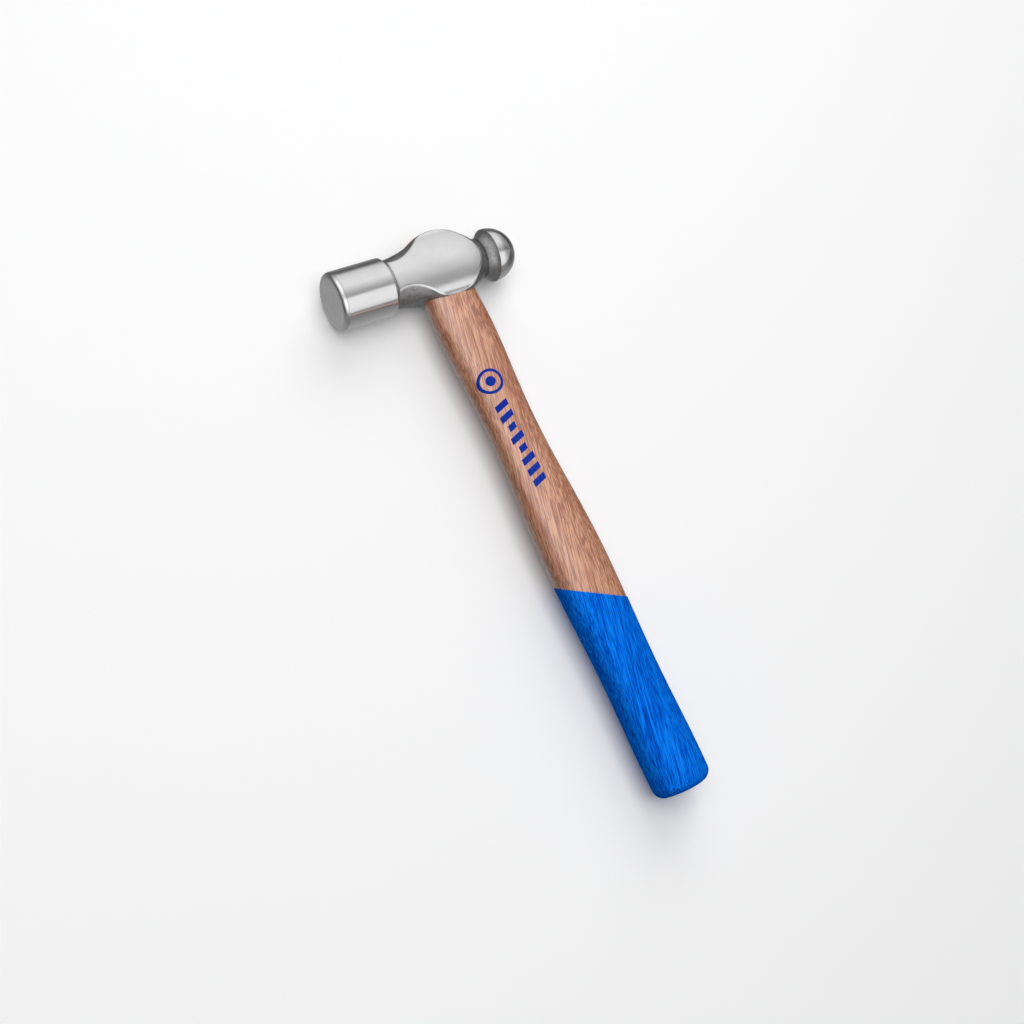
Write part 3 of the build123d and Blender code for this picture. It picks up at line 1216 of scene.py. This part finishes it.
@dataclass(frozen=True)
class Surroundings:
    """What stands round the hammer: long soft panels beside the head, and an even pale room.

    The panels run along Y, so their brightness depends on the angle about the head's axis, from
    +X towards +Z. They are all that shiny surfaces mirror. The even room only adds to the lamps'
    light.
    """

    panels: tuple[Point, ...] = (
        (0, 0.30), (4, 0.56), (14, 0.74), (40, 0.90), (66, 0.93), (84, 0.68), (98, 0.42), (109, 0.36),
        (111, 0.98), (124, 1.00), (150, 0.98), (168, 0.86), (171, 0.26), (200, 0.25), (222, 0.34),
        (250, 0.40), (285, 0.50), (312, 0.30), (338, 0.13), (352, 0.13), (360, 0.30))
    overhead_gain: float = 1.1
    overhead_y: Point = (0.0, 0.3)
    overhead_up: Point = (0.15, 0.6)
    end_level: float = 0.35
    ball_end_y: Point = (-0.95, -0.62)
    face_end_y: Point = (0.72, 0.92)
    room: float = 0.30
    room_tilt: float = 0.16
    room_colour: Colour = (0.8, 0.8, 0.8)
    seen_colour: Colour = (0.96, 0.96, 0.965)

    def gain(self, g: Graph, y: Socket, up: Socket) -> Socket:
        """How much brighter the panels are overhead, and how much darker towards their ends.

        Args:
            g: The world's graph.
            y: How far a direction points along +Y.
            up: How far it points along +Z.

        Returns:
            The gain.
        """
        overhead = g.sums("MULTIPLY", g.span(y, *self.overhead_y, 0.0, 1.0),
                          g.span(up, *self.overhead_up, 0.0, 1.0))
        bright = g.sums("ADD", 1.0, g.sums("MULTIPLY", overhead, self.overhead_gain))
        ends = g.sums("MULTIPLY", g.span(y, *self.ball_end_y, 0.0, 1.0),
                      g.span(y, *self.face_end_y, 1.0, 0.0))
        level = g.sums("ADD", self.end_level, g.sums("MULTIPLY", ends, 1.0 - self.end_level))
        return g.sums("MULTIPLY", bright, level)

    @staticmethod
    def backdrop(g: Graph, colour: Socket | Colour, strength: Socket | float) -> Socket:
        """Backdrop of a colour and a strength.

        Args:
            g: The world's graph.
            colour: Its colour.
            strength: Its strength.

        Returns:
            The backdrop's light.
        """
        node = g.add("ShaderNodeBackground")
        g.feed(node.inputs["Color"], colour)
        g.feed(node.inputs["Strength"], strength)
        return node.outputs["Background"]

    def build(self) -> None:
        """Builds the surroundings."""
        world = bpy.data.worlds.new("studio")
        bpy.context.scene.world = world
        world.use_nodes = True
        g = Graph(world.node_tree)
        direction = g.add("ShaderNodeSeparateXYZ")
        g.join(g.add("ShaderNodeTexCoord").outputs["Generated"], direction.inputs["Vector"])
        x, y, up = (direction.outputs[axis] for axis in "XYZ")
        turn = g.sums("MULTIPLY", g.sums("ARCTAN2", up, x), 1 / (2 * math.pi))
        stops = tuple((angle / 360, (level,) * 3) for angle, level in self.panels)
        panels = g.colours(g.sums("FRACT", turn, 0.0), stops)
        mirrored = self.backdrop(g, panels, self.gain(g, y, up))
        tilt = g.sums("MULTIPLY", y, self.room_tilt)
        surface = self.backdrop(g, self.room_colour, g.sums("SUBTRACT", self.room, tilt))
        seen = self.backdrop(g, self.seen_colour, 1.0)
        path = g.add("ShaderNodeLightPath")
        for ray, light in (("Is Glossy Ray", mirrored), ("Is Camera Ray", seen)):
            mix = g.add("ShaderNodeMixShader")
            g.join(path.outputs[ray], mix.inputs["Fac"])
            g.join(surface, mix.inputs[1])
            g.join(light, mix.inputs[2])
            surface = mix.outputs[0]
        g.join(surface, g.add("ShaderNodeOutputWorld").inputs["Surface"])


@dataclass
class Studio:
    """Pale floor, soft lamps, surroundings and the camera."""

    floor_half: float = 1.2
    floor_steps: int = 24
    floor_gap: float = 0.01 * MM
    camera_offset: Colour = (-0.21433, 0.31286, 0.60634)
    aim_offset: Colour = (-0.12978, 0.01640, 0.0)
    roll: float = 50.32
    lens: float = 47.82
    sensor: float = 36.0
    clip: Point = (0.01, 50.0)
    shift: Point = (-0.0055, -0.0055)
    lamps: tuple[Softbox, ...] = (
        Softbox("overhead_softbox", 62.0, 118.0, 1.3, 0.22, 1.3, 2.45),
        Softbox("side_softbox", 20.0, 60.0, 1.6, -0.9, 1.5, 2.6),
    )

    def floor(self, finish: bpy.types.Material) -> bpy.types.Object:
        """Lays the floor just under the lowest point of the hammer.

        Nothing mirrors it, and it throws no light back up.

        Args:
            finish: The floor's finish.

        Returns:
            The floor.
        """
        steps = self.floor_steps
        line = np.linspace(-self.floor_half, self.floor_half, steps + 1)
        level = CAD_LOW.z - self.floor_gap
        vertices = [(x, y, level) for y in line for x in line]
        across = steps + 1
        faces = [(r * across + c, r * across + c + 1, (r + 1) * across + c + 1, (r + 1) * across + c)
                 for r in range(steps) for c in range(steps)]
        floor = mesh_object("studio_floor", np.array(vertices), faces, finish)
        floor.visible_glossy = False
        floor.visible_diffuse = False
        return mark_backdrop(floor)

    def camera(self, eye: Vector) -> bpy.types.Object:
        """Sets up the camera.

        Args:
            eye: The middle of the head.

        Returns:
            The camera.
        """
        data = bpy.data.cameras.new("camera")
        data.lens = self.lens
        data.sensor_width = self.sensor
        data.shift_x, data.shift_y = self.shift
        data.clip_start, data.clip_end = self.clip
        camera = bpy.data.objects.new("camera", data)
        bpy.context.scene.collection.objects.link(camera)
        position = eye + Vector(self.camera_offset)
        look = eye + Vector(self.aim_offset) - position
        level = look.to_track_quat("-Z", "Y")
        camera.rotation_mode = "QUATERNION"
        camera.rotation_quaternion = level @ Quaternion((0.0, 0.0, 1.0), math.radians(self.roll))
        camera.location = position
        bpy.context.scene.camera = camera
        return camera

    def build(self, eye: Vector, finish: bpy.types.Material) -> None:
        """Builds the whole studio.

        Args:
            eye: The middle of the head.
            finish: The floor's finish.
        """
        self.floor(finish)
        Surroundings().build()
        for lamp in self.lamps:
            lamp.build(eye)
        self.camera(eye)
        bpy.context.scene.view_settings.view_transform = "Standard"


def main() -> None:
    """Builds the hammer's looks and its studio, and reports each piece."""
    logging.basicConfig(level=logging.INFO, format="%(name)s: %(message)s")
    forging = HeadForging()
    head = forging.build(GroundSteel().build())
    LOG.info("%s: %d faces", head.name, len(head.data.polygons))
    for piece in HandleStick().build() + PrintedMark().build(forging.eye, PrintInk().build()):
        LOG.info("%s: %d faces", piece.name, len(piece.data.polygons))
    Studio().build(forging.eye, PaleFloor().build())


if __name__ == "__main__":
    main()
